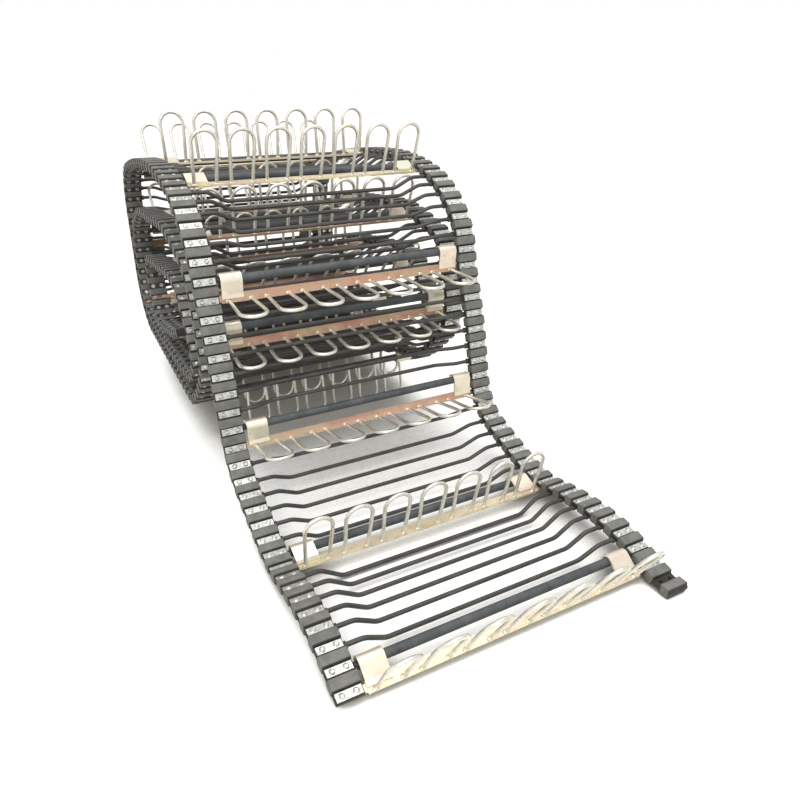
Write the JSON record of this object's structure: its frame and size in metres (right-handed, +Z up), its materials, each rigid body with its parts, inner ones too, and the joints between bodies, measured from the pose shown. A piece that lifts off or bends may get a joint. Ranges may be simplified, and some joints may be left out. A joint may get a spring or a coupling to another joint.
{
  "type": "elevator belt",
  "caption": "Rolled rod-link elevator web: two cogged rubber belts with riveted cranked cross rods and wire-loop flights, its free run laid out on the floor.",
  "frame": {"origin": "middle of the underside of the web's box, on the floor", "axes": "+X across the web towards the belt with the long free end, +Y from the free end to the roll, +Z up"},
  "size_m": [0.692, 1.8779, 0.805],
  "materials": {
    "belt_rubber": "matt moulded rubber, dusty on the cogs",
    "sleeve_rubber": "smooth slate-grey rubber tube",
    "rod_steel": "dark rolled steel, semi-matt",
    "bar_steel": "yellow-passivated zinc with pink and green tints",
    "bracket_sheet": "yellow-passivated zinc sheet",
    "loop_wire": "bright passivated wire with pale welds",
    "plate_zinc": "bright zinc",
    "rivet_zinc": "bright zinc"
  },
  "bodies": {
    "roll": {"roll_cross_rods": "rod_steel", "roll_finger_loops": "loop_wire", "roll_flight_bar": "bar_steel", "roll_hook_brackets": "bracket_sheet", "roll_left_belt": "belt_rubber", "roll_right_belt": "belt_rubber", "roll_rivet_plates": "plate_zinc", "roll_rivets": "rivet_zinc", "roll_rubber_sleeves": "sleeve_rubber", "roll_sleeved_rod": "rod_steel"},
    "run_1": {"run_1_belts": "belt_rubber", "run_1_cross_rods": "rod_steel", "run_1_rivet_plates": "plate_zinc", "run_1_rivets": "rivet_zinc"},
    "run_2": {"run_2_belts": "belt_rubber", "run_2_cross_rods": "rod_steel", "run_2_rivet_plates": "plate_zinc", "run_2_rivets": "rivet_zinc"},
    "run_3": {"run_3_belts": "belt_rubber", "run_3_finger_loops": "loop_wire", "run_3_flight_bar": "bar_steel", "run_3_hook_brackets": "bracket_sheet", "run_3_rivet_plates": "plate_zinc", "run_3_rivets": "rivet_zinc", "run_3_rubber_sleeves": "sleeve_rubber", "run_3_sleeved_rod": "rod_steel"},
    "run_4": {"run_4_belts": "belt_rubber", "run_4_cross_rods": "rod_steel", "run_4_rivet_plates": "plate_zinc", "run_4_rivets": "rivet_zinc"},
    "run_5": {"run_5_belts": "belt_rubber", "run_5_cross_rods": "rod_steel", "run_5_rivet_plates": "plate_zinc", "run_5_rivets": "rivet_zinc"},
    "run_6": {"run_6_belts": "belt_rubber", "run_6_cross_rods": "rod_steel", "run_6_rivet_plates": "plate_zinc", "run_6_rivets": "rivet_zinc"},
    "run_7": {"run_7_belts": "belt_rubber", "run_7_finger_loops": "loop_wire", "run_7_flight_bar": "bar_steel", "run_7_hook_brackets": "bracket_sheet", "run_7_rivet_plates": "plate_zinc", "run_7_rivets": "rivet_zinc", "run_7_rubber_sleeves": "sleeve_rubber", "run_7_sleeved_rod": "rod_steel"}
  },
  "joints": [
    {"name": "bend_1", "type": "hinge", "parent": "roll", "child": "run_1", "pos_m": [0, -0.34351, 0.08758], "axis": [-1, 0, 0], "range_deg": [-15, 15], "stiffness_Nm_per_rad": 4},
    {"name": "bend_2", "type": "hinge", "parent": "run_1", "child": "run_2", "pos_m": [0, -0.419, 0.06109], "axis": [-1, 0, 0], "range_deg": [-15, 15], "stiffness_Nm_per_rad": 4},
    {"name": "bend_3", "type": "hinge", "parent": "run_2", "child": "run_3", "pos_m": [0, -0.49559, 0.03834], "axis": [-1, 0, 0], "range_deg": [-15, 15], "stiffness_Nm_per_rad": 4},
    {"name": "bend_4", "type": "hinge", "parent": "run_3", "child": "run_4", "pos_m": [0, -0.57459, 0.03503], "axis": [-1, 0, 0], "range_deg": [-15, 15], "stiffness_Nm_per_rad": 4},
    {"name": "bend_5", "type": "hinge", "parent": "run_4", "child": "run_5", "pos_m": [0, -0.65343, 0.04834], "axis": [-1, 0, 0], "range_deg": [-15, 15], "stiffness_Nm_per_rad": 4},
    {"name": "bend_6", "type": "hinge", "parent": "run_5", "child": "run_6", "pos_m": [0, -0.73326, 0.05206], "axis": [-1, 0, 0], "range_deg": [-15, 15], "stiffness_Nm_per_rad": 4},
    {"name": "bend_7", "type": "hinge", "parent": "run_6", "child": "run_7", "pos_m": [0, -0.81219, 0.04097], "axis": [-1, 0, 0], "range_deg": [-15, 15], "stiffness_Nm_per_rad": 4}
  ]
}
